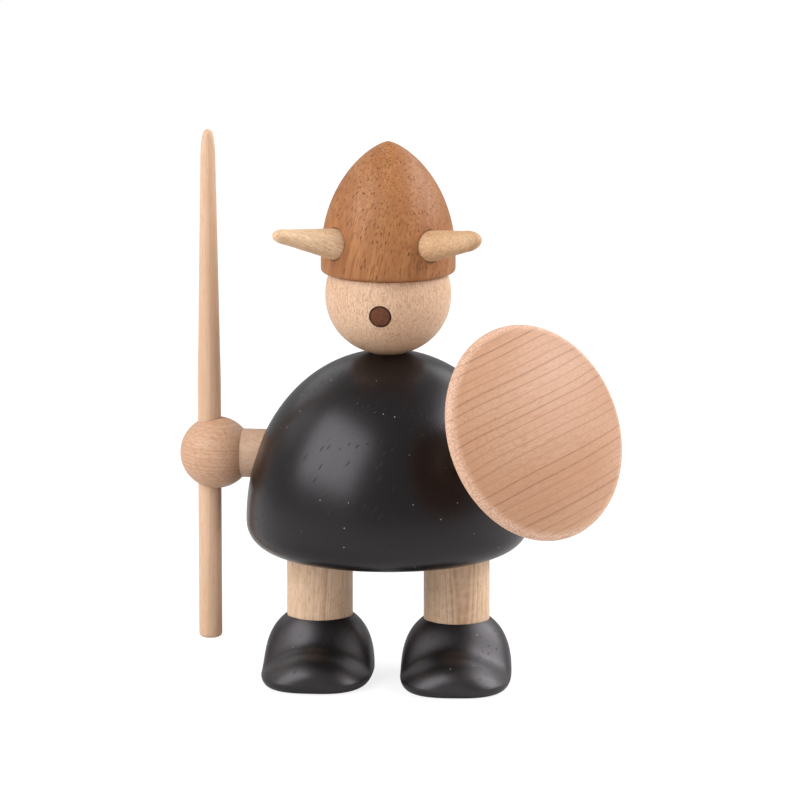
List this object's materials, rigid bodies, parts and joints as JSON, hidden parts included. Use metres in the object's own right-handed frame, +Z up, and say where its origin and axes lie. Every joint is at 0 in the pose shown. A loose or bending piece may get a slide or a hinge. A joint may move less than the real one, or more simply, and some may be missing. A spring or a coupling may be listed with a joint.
{
  "type": "wooden viking figurine",
  "caption": "Turned wooden viking figurine: domed black tunic, pointed cap with peg horns, turning head, domed round shield on a turning arm, and a spear that slides in a ball hand.",
  "frame": {"origin": "on the surface that the boots stand on, at the middle of the outline seen from above", "axes": "+Z up; the figure looks along -Y, with its right hand and the spear towards -X"},
  "size_m": [0.0834, 0.0696, 0.1015],
  "materials": {
    "black_stained_wood": "satin black stain on turned wood",
    "red_brown_wood": "satin oiled open-pored wood",
    "pale_wood": "satin lacquered fine-grained wood",
    "tan_wood": "satin lacquered beech",
    "dark_plug_wood": "flush sanded end grain"
  },
  "bodies": {
    "tunic": {"tunic": "black_stained_wood", "neck_dowel": "tan_wood", "leg_right": "tan_wood", "leg_left": "tan_wood", "boot_right": "black_stained_wood", "boot_left": "black_stained_wood"},
    "head": {"head": "pale_wood", "nose_plug": "dark_plug_wood", "helmet": "red_brown_wood", "helmet_dowel": "tan_wood", "horn_right": "pale_wood", "horn_left": "pale_wood"},
    "spear_arm": {"arm_right": "pale_wood", "hand_right": "tan_wood"},
    "spear": {"spear": "pale_wood"},
    "shield_arm": {"arm_left": "pale_wood", "hand_left": "tan_wood", "shield_dowel": "tan_wood", "shield": "tan_wood"}
  },
  "joints": [
    {"name": "head_turn", "type": "hinge", "parent": "tunic", "child": "head", "pos_m": [-0.00291, 0.00861, 0.06105], "axis": [0, 0, 1], "continuous": true},
    {"name": "spear_arm_turn", "type": "hinge", "parent": "tunic", "child": "spear_arm", "pos_m": [-0.02733, 0.00861, 0.0414], "axis": [-1, 0, 0], "range_deg": [-90, 90]},
    {"name": "spear_slide", "type": "slide", "parent": "spear_arm", "child": "spear", "axis": [0, 0, 1], "range_m": [-0.0062, 0.028]},
    {"name": "shield_turn", "type": "hinge", "parent": "tunic", "child": "shield_arm", "pos_m": [0.01387, -0.00704, 0.04525], "axis": [0.6828, -0.6367, 0.3584], "continuous": true}
  ]
}
